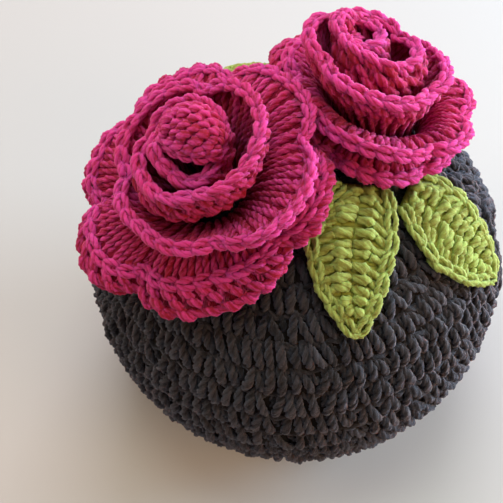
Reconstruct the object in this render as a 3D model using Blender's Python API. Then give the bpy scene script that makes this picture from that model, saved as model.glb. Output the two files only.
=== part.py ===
"""Crocheted tea cosy: a hollow ball-shaped cover with two rolled roses and three leaves on its crown.

Metres, +Z up. The origin is the centre of the hem, on the surface that the cosy stands on.
-X is the handle side, +X the spout side and -Y the front.
"""

import math
from collections import namedtuple

import bpy
from mathutils import Vector

MM = 0.001

# The cover: an ellipsoid of revolution that turns down to a narrower hem.
COVER_RADIUS = 85.0 * MM
COVER_HALF_HEIGHT = 73.5 * MM
COVER_CENTRE = Vector((0.0, 0.0, 60.0 * MM))
WALL = 5.0 * MM
HEM_RADIUS = 56.0 * MM
FOOT_LATITUDE = math.radians(-43.0)      # below this the wall leaves the ellipsoid for the hem
FOOT_STEPS = 2
LUMP = 0.5 * MM                          # gentle unevenness of the stretched cloth

# The two openings are lenses with pointed ends, on the XZ plane.
Opening = namedtuple("Opening", "bottom top half_width")
HANDLE_SLIT = Opening(bottom=33.0 * MM, top=110.0 * MM, half_width=8.5 * MM)
SPOUT_SLIT = Opening(bottom=42.0 * MM, top=94.0 * MM, half_width=13.0 * MM)
LIP_BULGE = 1.2 * MM                     # the edging round stands a little proud
LIP_WIDTH = 4.0 * MM

ROWS_BELOW_SLITS = 3
ROWS_HANDLE_TO_SPOUT = 1
ROWS_BESIDE_SPOUT = 6
ROWS_SPOUT_TO_HANDLE = 2
ROWS_CROWN = 6
PANEL_COLUMNS = 20                       # of each half, from slit to slit

SEAT_GAP = 0.4 * MM                      # clearance of what is sewn on to the cover

# A rose is one strip of scalloped petals, rolled from the middle outwards.
STRIP_HALF_THICKNESS = 1.75 * MM
RIM_HALF_THICKNESS = 2.3 * MM
ROLL_START_RADIUS = 2.7 * MM
ROLL_PITCH = 4.2 * MM                    # growth of the foot's radius in one turn
STRIP_STEP = 4.6 * MM                    # length of one column along the strip's middle
STRIP_LEVELS = 5                         # divisions from foot to rim
WIDEST_COLUMN_DEG = 32.0

# Each row is one petal, counted anticlockwise from the rose's own X axis:
# the angle where it ends, its rim's radius and height above the seat, and its fold's height.
Petal = namedtuple("Petal", "end_deg rim_radius rim_height fold_height")
Rose = namedtuple("Rose", "seat_x seat_y lean_x lean_y start_deg petals")

ROSE_LEFT = Rose(
    seat_x=-30.0, seat_y=-15.0, lean_x=0.10, lean_y=0.08, start_deg=20.0,
    petals=(
        Petal(end_deg=330, rim_radius=6.5, rim_height=37, fold_height=37),
        Petal(end_deg=515, rim_radius=14.5, rim_height=33, fold_height=34),
        Petal(end_deg=640, rim_radius=18.5, rim_height=28, fold_height=29),
        Petal(end_deg=800, rim_radius=26.5, rim_height=29, fold_height=29),
        Petal(end_deg=905, rim_radius=28.0, rim_height=22, fold_height=24),
        Petal(end_deg=1020, rim_radius=30.0, rim_height=20, fold_height=22),
        Petal(end_deg=1085, rim_radius=41.0, rim_height=16, fold_height=20),
        Petal(end_deg=1155, rim_radius=43.0, rim_height=14, fold_height=18),
        Petal(end_deg=1217, rim_radius=43.0, rim_height=11, fold_height=17),
        Petal(end_deg=1264, rim_radius=45.0, rim_height=10, fold_height=15),
        Petal(end_deg=1313, rim_radius=54.0, rim_height=3, fold_height=12),
        Petal(end_deg=1398, rim_radius=45.0, rim_height=-3, fold_height=11),
        Petal(end_deg=1450, rim_radius=45.0, rim_height=4, fold_height=11),
    ),
)
ROSE_RIGHT = Rose(
    seat_x=28.0, seat_y=15.0, lean_x=-0.34, lean_y=0.0, start_deg=90.0,
    petals=(
        Petal(end_deg=400, rim_radius=6.5, rim_height=35, fold_height=35),
        Petal(end_deg=560, rim_radius=12.5, rim_height=34, fold_height=34),
        Petal(end_deg=680, rim_radius=16.0, rim_height=33, fold_height=33),
        Petal(end_deg=770, rim_radius=18.0, rim_height=34, fold_height=34),
        Petal(end_deg=850, rim_radius=22.0, rim_height=32, fold_height=33),
        Petal(end_deg=930, rim_radius=24.0, rim_height=31, fold_height=32),
        Petal(end_deg=1050, rim_radius=25.5, rim_height=28, fold_height=30),
        Petal(end_deg=1142, rim_radius=27.5, rim_height=29, fold_height=30),
        Petal(end_deg=1203, rim_radius=28.0, rim_height=18, fold_height=23),
        Petal(end_deg=1256, rim_radius=43.0, rim_height=6, fold_height=19),
        Petal(end_deg=1300, rim_radius=28.0, rim_height=11, fold_height=16),
        Petal(end_deg=1390, rim_radius=34.0, rim_height=16, fold_height=18),
        Petal(end_deg=1435, rim_radius=38.0, rim_height=15, fold_height=18),
        Petal(end_deg=1485, rim_radius=41.5, rim_height=16, fold_height=19),
        Petal(end_deg=1590, rim_radius=32.0, rim_height=0, fold_height=6),
        Petal(end_deg=1680, rim_radius=31.0, rim_height=1, fold_height=7),
        Petal(end_deg=1760, rim_radius=38.0, rim_height=5, fold_height=10),
        Petal(end_deg=1815, rim_radius=37.5, rim_height=6, fold_height=10),
    ),
)
SCALLOP_DEPTH = 0.14                     # how far the rim draws in between two petals
SCALLOP_DIP = 1.6 * MM

# A leaf lies on the cover along an arc, as azimuth from the front and angle from the pole in degrees.
Leaf = namedtuple("Leaf", "root_azimuth root_polar tip_azimuth tip_polar half_width bend")
LEAF_FRONT = Leaf(
    root_azimuth=57, root_polar=19, tip_azimuth=17, tip_polar=50, half_width=16.5, bend=-3.0)
LEAF_RIGHT = Leaf(
    root_azimuth=76, root_polar=31, tip_azimuth=70, tip_polar=66, half_width=15.0, bend=-3.0)
LEAF_BACK = Leaf(
    root_azimuth=214, root_polar=14.5, tip_azimuth=204, tip_polar=50, half_width=15.0, bend=0.0)
LEAF_THICKNESS = 3.6 * MM
LEAF_CROWN = 0.8 * MM
LEAF_MIDRIB = 1.0 * MM
LEAF_LENGTH_STEPS = 12
LEAF_WIDTH_STEPS = 6
# Half width along the leaf, each as a share of its length and of its widest place.
Width = namedtuple("Width", "place share")
LEAF_OUTLINE = (
    Width(place=0.0, share=0.55),
    Width(place=0.15, share=0.84),
    Width(place=0.4, share=1.0),
    Width(place=0.7, share=0.76),
    Width(place=0.9, share=0.40),
    Width(place=1.0, share=0.16),
)


def new_material(name, colour, roughness):
    material = bpy.data.materials.new(name)
    material.use_nodes = True
    shader = material.node_tree.nodes["Principled BSDF"]
    shader.inputs["Base Color"].default_value = (*colour, 1.0)
    shader.inputs["Roughness"].default_value = roughness
    shader.inputs["Metallic"].default_value = 0.0
    return material


def new_object(name, points, faces, material):
    mesh = bpy.data.meshes.new(name)
    mesh.from_pydata([tuple(point) for point in points], [], faces)
    mesh.materials.append(material)
    mesh.shade_smooth()
    mesh.set_sharp_from_angle(angle=math.radians(50.0))
    body = bpy.data.objects.new(name, mesh)
    bpy.context.collection.objects.link(body)
    return body


# ---------------------------------------------------------------- the cover

def cover_direction(azimuth, polar):
    """Unit direction for an azimuth from the front (-Y) towards +X and an angle from the pole."""
    side = math.sin(polar)
    return Vector((math.sin(azimuth) * side, -math.cos(azimuth) * side, math.cos(polar)))


def lump(direction):
    azimuth = math.atan2(direction.y, direction.x)
    return LUMP * math.sin(3.0 * azimuth + 2.0 * direction.z) * (1.0 - direction.z ** 2)


def cover_point(direction, lift=0.0):
    """Point of the outer cloth for a direction of the scaled unit sphere, moved out by lift."""
    point = Vector((COVER_RADIUS * direction.x, COVER_RADIUS * direction.y, COVER_HALF_HEIGHT * direction.z))
    normal = cover_normal(direction)
    return COVER_CENTRE + point + normal * (lump(direction) + lift)


def cover_normal(direction):
    return Vector((
        direction.x / COVER_RADIUS, direction.y / COVER_RADIUS, direction.z / COVER_HALF_HEIGHT,
    )).normalized()


def scaled_direction(point):
    """Direction of the scaled unit sphere under a point near the cover."""
    offset = point - COVER_CENTRE
    return Vector((
        offset.x / COVER_RADIUS, offset.y / COVER_RADIUS, offset.z / COVER_HALF_HEIGHT,
    )).normalized()


def latitude_at(height):
    return math.asin((height - COVER_CENTRE.z) / COVER_HALF_HEIGHT)


def even(first, last, steps):
    """Values after first, up to and with last."""
    return [first + (last - first) * step / steps for step in range(1, steps + 1)]


def row_latitudes():
    """Latitudes of the rows from the foot to just below the pole, with a row at each slit's end."""
    stops = [FOOT_LATITUDE, latitude_at(HANDLE_SLIT.bottom), latitude_at(SPOUT_SLIT.bottom),
             latitude_at(SPOUT_SLIT.top), latitude_at(HANDLE_SLIT.top), math.pi / 2]
    counts = (ROWS_BELOW_SLITS, ROWS_HANDLE_TO_SPOUT, ROWS_BESIDE_SPOUT, ROWS_SPOUT_TO_HANDLE, ROWS_CROWN)
    rows = [FOOT_LATITUDE]
    for first, last, count in zip(stops, stops[1:], counts):
        rows += even(first, last, count)
    return rows[:-1]


def slit_half_width(slit, height):
    middle = (slit.bottom + slit.top) / 2
    reach = (slit.top - slit.bottom) / 2
    share = (height - middle) / reach
    return max(0.0, slit.half_width * (1.0 - share * share))


def panel_share(column):
    """Place of a column between the two slits, closer together beside each."""
    even_share = column / PANEL_COLUMNS
    return even_share - 0.62 * math.sin(2 * math.pi * even_share) / (2 * math.pi)


def lip(distance):
    """Extra thickness of the edging at a distance from an opening's edge."""
    return LIP_BULGE * max(0.0, 1.0 - distance / (2 * LIP_WIDTH)) ** 2


def cover_row(latitude, depth):
    """One ring of points, from the handle slit round the front to the spout slit and back.

    Where a slit is open the ring has a point on each of its edges, else one point for both."""
    height = COVER_CENTRE.z + COVER_HALF_HEIGHT * math.sin(latitude)
    radius = COVER_RADIUS * math.cos(latitude)
    handle = slit_half_width(HANDLE_SLIT, height) / radius
    spout = slit_half_width(SPOUT_SLIT, height) / radius
    halves = []
    for side in (1, -1):
        points = []
        for column in range(PANEL_COLUMNS + 1):
            share = panel_share(column)
            from_handle = handle + (math.pi - handle - spout) * share
            azimuth = side * (from_handle - math.pi / 2)
            front = azimuth if side == 1 else math.pi + azimuth
            direction = cover_direction(front, math.pi / 2 - latitude)
            bulge = 0.0
            if handle > 1e-6:
                bulge += lip(radius * (from_handle - handle))
            if spout > 1e-6:
                bulge += lip(radius * (math.pi - spout - from_handle))
            points.append(cover_point(direction, -depth if depth else bulge))
        halves.append(points)
    return halves, handle > 1e-6, spout > 1e-6


def foot_rings(depth):
    """Rings from the hem up to the last row on the ellipsoid, as radius and height."""
    edge = COVER_RADIUS * math.cos(FOOT_LATITUDE)
    edge_height = COVER_CENTRE.z + COVER_HALF_HEIGHT * math.sin(FOOT_LATITUDE)
    rings = []
    for step in range(FOOT_STEPS):
        share = step / FOOT_STEPS
        radius = HEM_RADIUS + (edge - HEM_RADIUS) * share ** 1.5
        rings.append((radius - depth, edge_height * share))
    return rings


def cover_surface(depth, points):
    """Adds the rows of one skin to points and returns them as lists of the two halves' indices."""
    rows = []
    for radius, height in foot_rings(depth):
        halves = []
        for side in (1, -1):
            half = []
            for column in range(PANEL_COLUMNS + 1):
                angle = math.pi * panel_share(column)
                half.append(Vector((-radius * math.cos(angle), -side * radius * math.sin(angle), height)))
            halves.append(half)
        rows.append((halves, False, False))
    rows += [cover_row(latitude, depth) for latitude in row_latitudes()]
    indexed = []
    for (front, back), handle_open, spout_open in rows:
        first = len(points)
        points.extend(front)
        front_index = list(range(first, first + len(front)))
        back_index = []
        for column, point in enumerate(back):
            at_handle = column == 0 and not handle_open
            at_spout = column == PANEL_COLUMNS and not spout_open
            if at_handle or at_spout:
                back_index.append(front_index[column])
            else:
                back_index.append(len(points))
                points.append(point)
        indexed.append((front_index, back_index))
    return indexed


def cover_mesh():
    points = []
    skins = [cover_surface(0.0, points), cover_surface(WALL, points)]
    faces = []
    for skin, outward in zip(skins, (True, False)):
        for low, high in zip(skin, skin[1:]):
            for half, turn in ((0, outward), (1, not outward)):
                for column in range(PANEL_COLUMNS):
                    quad = [low[half][column], low[half][column + 1], high[half][column + 1], high[half][column]]
                    faces.append(quad if turn else quad[::-1])
        pole = len(points)
        points.append(cover_point(Vector((0, 0, 1)), 0.0 if outward else -WALL))
        for half, turn in ((0, outward), (1, not outward)):
            ring = skin[-1][half]
            for column in range(PANEL_COLUMNS):
                fan = [ring[column], ring[column + 1], pole]
                faces.append(fan if turn else fan[::-1])
    outer, inner = skins
    for half, turn in ((0, False), (1, True)):
        for column in range(PANEL_COLUMNS):
            quad = [outer[0][half][column], outer[0][half][column + 1],
                    inner[0][half][column + 1], inner[0][half][column]]
            faces.append(quad if turn else quad[::-1])
    for column, turn in ((0, True), (PANEL_COLUMNS, False)):
        for row in range(len(outer) - 1):
            for half, half_turn in ((0, turn), (1, not turn)):
                edge = [outer[row][half][column], outer[row + 1][half][column],
                        inner[row + 1][half][column], inner[row][half][column]]
                both = [outer[row][1 - half][column], outer[row + 1][1 - half][column]]
                if edge[:2] != both:
                    faces.append(edge if half_turn else edge[::-1])
    return points, faces


# ---------------------------------------------------------------- the roses

def seat_frame(rose):
    """The rose's foot on the cover: its origin and its X, Y and up axes."""
    across = Vector((rose.seat_x * MM / COVER_RADIUS, rose.seat_y * MM / COVER_RADIUS, 0.0))
    direction = Vector((across.x, across.y, math.sqrt(1.0 - across.length_squared)))
    up = cover_normal(direction)
    x_axis = (Vector((1, 0, 0)) - up * up.x).normalized()
    return cover_point(direction), x_axis, up.cross(x_axis), up


def between(angle, places, values):
    """Straight-line value at an angle between the given places."""
    if angle <= places[0]:
        return values[0]
    for low, high, first, last in zip(places, places[1:], values, values[1:]):
        if angle <= high:
            return first + (last - first) * (angle - low) / (high - low)
    return values[-1]


def petal_bounds(rose):
    starts = [rose.start_deg] + [petal.end_deg for petal in rose.petals[:-1]]
    return list(zip(starts, (petal.end_deg for petal in rose.petals)))


def rim_of(rose, angle):
    """Rim radius, rim height and fold height at an angle along the strip, with the scallops."""
    bounds = petal_bounds(rose)
    middles = [(start + end) / 2 for start, end in bounds]
    radius = between(angle, middles, [petal.rim_radius for petal in rose.petals]) * MM
    height = between(angle, middles, [petal.rim_height for petal in rose.petals]) * MM
    fold = between(angle, middles, [petal.fold_height for petal in rose.petals]) * MM
    start, end = next(pair for pair in bounds if angle <= pair[1] + 1e-6)
    notch = (1.0 - math.sin(math.pi * (angle - start) / (end - start))) ** 2
    dip = SCALLOP_DIP * notch
    return radius * (1.0 - SCALLOP_DEPTH * notch), height - dip, fold - dip


def foot_radius(rose, angle):
    return ROLL_START_RADIUS + ROLL_PITCH * (angle - rose.start_deg) / 360.0


def strip_angles(rose):
    """Angles of the strip's columns, closer in degrees where the strip is wide."""
    angles = []
    for start, end in petal_bounds(rose):
        middle = (start + end) / 2
        reach = (foot_radius(rose, middle) + rim_of(rose, middle)[0]) / 2
        columns = max(math.ceil((end - start) / WIDEST_COLUMN_DEG),
                      round(math.radians(end - start) * reach / STRIP_STEP))
        angles += [start + (end - start) * column / columns for column in range(columns)]
    return angles + [rose.petals[-1].end_deg]


def bezier(controls, share):
    rest = 1.0 - share
    weights = (rest ** 3, 3 * rest * rest * share, 3 * rest * share * share, share ** 3)
    return sum((control * weight for control, weight in zip(controls, weights)), Vector((0, 0)))


def strip_profile(rose, angle):
    """Middle line of the strip at an angle, as points of radius and height above the seat."""
    radius, height, fold = rim_of(rose, angle)
    foot = foot_radius(rose, angle)
    flare = radius - foot
    controls = (
        Vector((foot, 0.0)),
        Vector((foot + 0.10 * flare, 0.60 * fold)),
        Vector((foot + 0.50 * flare, fold)),
        Vector((radius, height)),
    )
    return [bezier(controls, level / STRIP_LEVELS) for level in range(STRIP_LEVELS + 1)]


def foot_lift(frame, x, y):
    """Height along the rose's axis at which a point clears the cover by the seat's gap."""
    origin, x_axis, y_axis, up = frame
    height = 0.0
    for _ in range(4):
        point = origin + x_axis * x + y_axis * y + up * height
        direction = scaled_direction(point)
        gap = (point - cover_point(direction)).dot(cover_normal(direction))
        height += (SEAT_GAP - gap) / up.dot(cover_normal(direction))
    return height


def rose_mesh(rose):
    frame = seat_frame(rose)
    origin, x_axis, y_axis, up = frame
    lean = up + x_axis * rose.lean_x + y_axis * rose.lean_y
    points = []
    loops = []
    for angle in strip_angles(rose):
        turn = math.radians(angle)
        profile = strip_profile(rose, angle)
        outer = []
        inner = []
        for level, place in enumerate(profile):
            before = profile[max(level - 1, 0)]
            after = profile[min(level + 1, STRIP_LEVELS)]
            along = (after - before).normalized()
            aside = Vector((along.y, -along.x))
            share = level / STRIP_LEVELS
            half = STRIP_HALF_THICKNESS + (RIM_HALF_THICKNESS - STRIP_HALF_THICKNESS) * share ** 4
            if level == 0:
                aside = Vector((1.0, 0.0))
            for side, skin in ((1, outer), (-1, inner)):
                spot = place + aside * half * side
                x = spot.x * math.cos(turn)
                y = spot.x * math.sin(turn)
                height = spot.y
                if level == 0:
                    height = foot_lift(frame, x, y)
                skin.append(origin + x_axis * x + y_axis * y + (lean if level else up) * height)
        loops.append(range(len(points), len(points) + 2 * len(outer)))
        points += outer + inner[::-1]
    faces = []
    size = len(loops[0])
    for near, far in zip(loops, loops[1:]):
        for corner in range(size):
            after = (corner + 1) % size
            faces.append([near[corner], far[corner], far[after], near[after]])
    for loop, turn in ((loops[0], True), (loops[-1], False)):
        for level in range(STRIP_LEVELS):
            cap = [loop[level], loop[level + 1], loop[size - 2 - level], loop[size - 1 - level]]
            faces.append(cap if turn else cap[::-1])
    return points, faces


# ---------------------------------------------------------------- the leaves

def leaf_half_width(leaf, place):
    """A leaf is widest near its middle and blunt at the tip."""
    share = between(place, [row.place for row in LEAF_OUTLINE], [row.share for row in LEAF_OUTLINE])
    return leaf.half_width * MM * share


def leaf_mesh(leaf):
    root = cover_direction(math.radians(leaf.root_azimuth), math.radians(leaf.root_polar))
    tip = cover_direction(math.radians(leaf.tip_azimuth), math.radians(leaf.tip_polar))
    aside = root.cross(tip).normalized()
    span = root.angle(tip)
    points = []
    loops = []
    for step in range(LEAF_LENGTH_STEPS + 1):
        share = step / LEAF_LENGTH_STEPS
        middle = (root * math.sin((1 - share) * span) + tip * math.sin(share * span)) / math.sin(span)
        half_angle = leaf_half_width(leaf, share) / COVER_RADIUS
        low = []
        high = []
        sideways = leaf.bend * MM * math.sin(math.pi * share) / COVER_RADIUS
        for place in range(LEAF_WIDTH_STEPS + 1):
            across = 2.0 * place / LEAF_WIDTH_STEPS - 1.0
            turn = across * half_angle + sideways
            direction = middle * math.cos(turn) + aside * math.sin(turn)
            crown = LEAF_CROWN * (1.0 - across * across) - LEAF_MIDRIB * max(0.0, 1.0 - 3.0 * abs(across))
            low.append(cover_point(direction, SEAT_GAP))
            high.append(cover_point(direction, SEAT_GAP + LEAF_THICKNESS + crown))
        loops.append(range(len(points), len(points) + 2 * len(low)))
        points += low + high[::-1]
    faces = []
    size = len(loops[0])
    for near, far in zip(loops, loops[1:]):
        for corner in range(size):
            after = (corner + 1) % size
            faces.append([near[after], far[after], far[corner], near[corner]])
    for loop, turn in ((loops[0], False), (loops[-1], True)):
        for place in range(LEAF_WIDTH_STEPS):
            cap = [loop[place], loop[place + 1], loop[size - 2 - place], loop[size - 1 - place]]
            faces.append(cap if turn else cap[::-1])
    return points, faces


def main():
    for old in list(bpy.data.objects):
        bpy.data.objects.remove(old, do_unlink=True)
    grey = new_material("grey_yarn", (0.042, 0.037, 0.038), 0.9)
    pink = new_material("rose_yarn", (0.42, 0.02, 0.10), 0.85)
    green = new_material("leaf_yarn", (0.26, 0.33, 0.06), 0.85)
    new_object("cosy_body", *cover_mesh(), grey)
    new_object("rose_left", *rose_mesh(ROSE_LEFT), pink)
    new_object("rose_right", *rose_mesh(ROSE_RIGHT), pink)
    new_object("leaf_front", *leaf_mesh(LEAF_FRONT), green)
    new_object("leaf_right", *leaf_mesh(LEAF_RIGHT), green)
    new_object("leaf_back", *leaf_mesh(LEAF_BACK), green)


main()
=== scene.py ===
"""Looks of the crocheted tea cosy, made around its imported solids.

Metres, +Z up, in the solids' own frame: -X is the handle side, +X the spout side and -Y the front.
Every stitch that shows is a length of yarn, laid on surfaces that follow the solids.
"""

import math
from collections import namedtuple

import bpy
import numpy as np
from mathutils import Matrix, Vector

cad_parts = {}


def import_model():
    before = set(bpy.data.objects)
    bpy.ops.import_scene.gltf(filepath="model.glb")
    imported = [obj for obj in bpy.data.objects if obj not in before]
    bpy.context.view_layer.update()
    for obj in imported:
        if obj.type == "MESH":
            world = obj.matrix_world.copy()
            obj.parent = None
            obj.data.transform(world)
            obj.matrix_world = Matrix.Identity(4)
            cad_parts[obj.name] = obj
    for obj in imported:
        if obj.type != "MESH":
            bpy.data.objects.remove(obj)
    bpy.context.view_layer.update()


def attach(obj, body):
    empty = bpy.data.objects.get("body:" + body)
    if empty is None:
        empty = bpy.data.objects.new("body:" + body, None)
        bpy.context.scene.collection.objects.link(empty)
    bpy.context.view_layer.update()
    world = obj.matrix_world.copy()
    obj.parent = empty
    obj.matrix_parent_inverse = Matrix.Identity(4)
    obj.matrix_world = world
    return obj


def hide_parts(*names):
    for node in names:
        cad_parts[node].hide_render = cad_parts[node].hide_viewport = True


MM = 0.001
SEED = 11

# ---- forms, which follow the solids
COVER_RADIUS = 85.0 * MM
COVER_HALF_HEIGHT = 73.5 * MM
COVER_SCALE = np.array((COVER_RADIUS, COVER_RADIUS, COVER_HALF_HEIGHT))
COVER_CENTRE = np.array((0.0, 0.0, 60.0 * MM))
HEM_RADIUS = 56.0 * MM
FOOT_LATITUDE = math.radians(-43.0)
LUMP = 0.5 * MM
Opening = namedtuple("Opening", "side bottom top half_width")
HANDLE_SLIT = Opening(side=-1, bottom=33.0 * MM, top=110.0 * MM, half_width=8.5 * MM)
SPOUT_SLIT = Opening(side=1, bottom=42.0 * MM, top=94.0 * MM, half_width=13.0 * MM)
SEAT_GAP = 0.4 * MM
STRIP_HALF_THICKNESS = 1.75 * MM
ROLL_START_RADIUS = 2.7 * MM
ROLL_PITCH = 4.2 * MM
SCALLOP_DEPTH = 0.14
SCALLOP_DIP = 1.6 * MM

# A petal ends at an angle, anticlockwise from the rose's own X axis. Its rim's radius and height, its
# fold's height and its wall's bulge between foot and rim are in mm.
Petal = namedtuple("Petal", "end_deg rim_radius rim_height fold_height bulge", defaults=(0.0,))
# The seat is a place on the cover, in mm along X and Y. The lean tips the rose over.
Rose = namedtuple("Rose", "name seat lean start_deg heart petals eye", defaults=(None,))
# How far the first turns' rims lie off the axis, up to one angle, fading to nothing at another.
Eye = namedtuple("Eye", "x y until_deg faded_deg")
# A rose's heart: a small coil, or the strip's start folded over as a hood.
Coil = namedtuple("Coil", "radius height")
Hood = namedtuple("Hood", "aside back height half_width half_depth rise facing_deg")
LEFT_PETALS = [Petal(*row) for row in (
    (150, 8, 29, 27, 2),
    (235, 10.5, 31, 25, 3),
    (330, 12, 23, 18, 4),
    (515, 14.5, 30, 22, 6),
    (640, 18.5, 27, 17, 12),
    (800, 26.5, 29, 20, 9),
    (905, 28, 22, 16, 8),
    (1005, 29.5, 20, 14, 9),
    (1085, 41, 17, 16, 5),
    (1155, 43, 14, 18),
    (1217, 43.5, 11, 17),
    (1264, 45, 10, 15),
    (1313, 52, 4, 12),
    (1398, 45, -3, 11),
    (1450, 45, 4, 11),
)]
RIGHT_PETALS = [Petal(*row) for row in (
    (290, 5.5, 33, 30, 1),
    (425, 11, 32, 28, 3),
    (560, 8, 33, 28, 2),
    (680, 11, 34, 22, 8),
    (770, 16.5, 33, 22, 9),
    (850, 20, 31, 22, 8),
    (930, 23.5, 30, 22, 6),
    (1050, 25, 29, 22, 3),
    (1142, 27.5, 29, 23, 4),
    (1203, 28, 18, 23),
    (1256, 43, 6, 19),
    (1300, 28, 11, 16),
    (1390, 34, 16, 18),
    (1435, 36.5, 15, 18),
    (1485, 39.5, 16, 19),
    (1590, 32, 0, 6),
    (1680, 31, 1, 7),
    (1745, 35, 4, 10),
    (1815, 31, 6, 10),
)]
ROSE_LEFT = Rose(
    name="rose_left", seat=(-30.0, -15.0), lean=(0.10, 0.08), start_deg=20.0,
    heart=Hood(aside=2.8 * MM, back=2.2 * MM, height=28.0 * MM, half_width=12.5 * MM, half_depth=10.0 * MM,
               rise=9.5 * MM, facing_deg=240.0),
    petals=LEFT_PETALS,
)
ROSE_RIGHT = Rose(
    name="rose_right", seat=(28.0, 15.0), lean=(-0.34, 0.0), start_deg=90.0,
    heart=Coil(radius=3.0 * MM, height=29.0 * MM),
    petals=RIGHT_PETALS,
    eye=Eye(x=-7.5 * MM, y=7.0 * MM, until_deg=470.0, faded_deg=630.0),
)

# A leaf's root and tip, each in degrees from the front (-Y) towards +X and degrees from the crown down,
# its half width and its sideways bend, in mm.
Leaf = namedtuple("Leaf", "name root_azimuth root_polar tip_azimuth tip_polar half_width bend")
LEAVES = (
    Leaf("leaf_front", 57, 19, 18, 50, 16.5, -4.5),
    Leaf("leaf_right", 72, 29, 70, 67, 17.4, -3.0),
    Leaf("leaf_back", 214, 14.5, 204, 50, 15.0, 0.0),
)
# Half width along a leaf, as a share of its widest place, at shares of its length.
LEAF_PLACES = (0.0, 0.15, 0.4, 0.7, 0.9, 1.0)
LEAF_WIDTHS = (0.55, 0.84, 1.0, 0.76, 0.40, 0.16)

# ---- yarn and stitches
ROUND_HEIGHT = 10.6 * MM  # of the cover's rounds, from the crown down
CROWN_INCREASE = 6  # stitches added in each of the crown's rounds
MOST_STITCHES = 50  # in a round
CROWN_RADIUS = 6.0 * MM  # angles are worked out at no less than this
GREY_STRAND = 1.85 * MM  # half thickness of the grey yarn
END_INSET = 0.30  # of a round's stitches beside the slits, in stitches
FULL_STITCH_WIDTH = 9.0 * MM  # narrower stitches have thinner yarn
STITCH_SPREAD = 0.08
STITCH_SHIFT = 0.7 * MM
STITCH_TURN = 0.20  # radians that a strand leans aside
STITCH_RISE = 0.35  # mm that a strand stands out
BURIED_LIFT = -3.2  # mm, below which a strand's ends stay down
HEM_MARGIN = 3.3 * MM  # from the hem to the lowest stitches
LOOP_MARGIN = 3.0 * MM  # from the hem to the lowest yarn between rounds
# Radians that the plies turn for a half thickness along, and the share that the groove between cuts in.
Plies = namedtuple("Plies", "twist groove")
GREY_PLIES = Plies(twist=1.0, groove=0.32)
PINK_PLIES = Plies(twist=0.75, groove=0.20)
GREEN_PLIES = Plies(twist=0.75, groove=0.24)
LUMPY = 0.045  # unevenness along a strand, as a share of its thickness
STRAND_TURN = 2.4  # radians from one strand to the next
STRAND_STEP = 0.0137  # along the yarn's UV map from one strand to the next
SLANT = 0.28  # of the stitches, across for each round down
CLOTH_LIFT = -3.7 * MM  # of the cloth behind the stitches
WELD_DISTANCE = 0.02 * MM
SLIT_MARGIN = 4.4 * MM  # from a slit's edge to the nearest stitches
SLIT_FADE = 4.0 * MM  # half width of a slit from which that margin is whole
TONE_SPREAD = 0.15  # from strand to strand of a rose or leaf
RIB_PITCH = 6.3 * MM  # of a rose's stitches along its rim
RIM_LEVEL = 0.985  # top of a rose's cloth strip
PROBE_LEVEL = 0.98  # where the length of a petal's wall is measured
PROBE_STEP = 0.08
# The inner points of a petal wall's curve, as shares of its flare outward and of its fold's height.
LOW_OUT = 0.10
LOW_UP = 0.60
HIGH_OUT = 0.50
SEAT_FADE = 5.0  # how fast the cover's slope fades up a petal's wall
FULL_DROOP = 14.0 * MM  # of a rim under its fold
DROOP_LEVEL = 0.24  # from the rim back to the fold of a fully drooping petal
RIM_CHAIN_RUN = 2.9 * MM  # from the fold of an upright rim to its chain
PINK_STRAND = 1.35 * MM
POST_TURN = 1.35 * np.pi  # of a tall stitch's two strands round each other
BUMP_STRAND = 1.75 * MM
BUMP_TAPER = 0.30  # of a stitch's head towards its ends, as a share
BUMP_ROWS = (3.7 * MM, 7.5 * MM, 11.3 * MM)  # of a rim's stitch heads, from its chain
GREEN_STRAND = 1.35 * MM
LEAF_TOP = 2.4 * MM  # middle of a leaf's yarn above its underside
LEAF_CHAIN_END = 0.955  # of its length, where a leaf's chain turns

# A leg of a stitch, from the hole in the round above to the round below. Its rows: a share of the
# stitch's width across, a share of the round's height down, and a lift from the outer surface in mm.
STITCH_LEG = (
    (0.06, -0.68, -5.0),
    (0.11, -0.55, -3.4),
    (0.17, -0.34, -2.0),
    (0.225, -0.08, -1.5),
    (0.27, 0.14, -2.0),
    (0.29, 0.32, -3.4),
    (0.27, 0.46, -5.0),
)
# The loop that shows between a stitch and the next.
SIDE_LOOP = (
    (0.33, -0.58, -4.6),
    (0.42, -0.42, -3.3),
    (0.50, -0.24, -3.0),
    (0.56, -0.08, -3.4),
    (0.60, 0.08, -4.8),
)
# A cover stitch's strands: side, line, thickness as a share, lightness, and how many places lie along
# each and points round each of its plies. The side loop's low lightness is painted shade: it lies deeper.
Strand = namedtuple("Strand", "hand line share tone places ply_points")
COVER_STRANDS = (
    Strand(-1, STITCH_LEG, 1.0, 0.55, 11, 4),
    Strand(1, STITCH_LEG, 1.0, 0.55, 11, 4),
    Strand(1, SIDE_LOOP, 0.78, 0.12, 7, 3),
)
# A link of a chain edge. Its rows: offset in strands, place along the chain in links, rise in strands.
LINK = (
    (0.10, -0.05, -0.9),
    (0.45, 0.18, -0.1),
    (1.00, 0.50, 0.20),
    (1.10, 0.85, -0.05),
    (0.70, 1.12, -0.8),
    (0.30, 1.30, -1.7),
)
LINK_PLACES = 10
LINK_CREST = 4  # the place at which a link stands highest
LINK_WOBBLE = 0.10  # of a link, in strands


# ---- yarn as meshes

def unit(vectors):
    return vectors / np.maximum(np.linalg.norm(vectors, axis=-1, keepdims=True), 1e-12)


def scatter(rng, size, many):
    """A random amount for each of many strands, as a column."""
    return rng.normal(0.0, size, (many, 1))


def uneven(rng, many, spread=0.06):
    """A random share near 1 for each of many strands, as a column."""
    return rng.normal(1.0, spread, (many, 1))


def run_along(curve):
    """The length along a curve at each of its points."""
    return np.append(0.0, np.cumsum(np.linalg.norm(np.diff(curve, axis=0), axis=1)))


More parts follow.
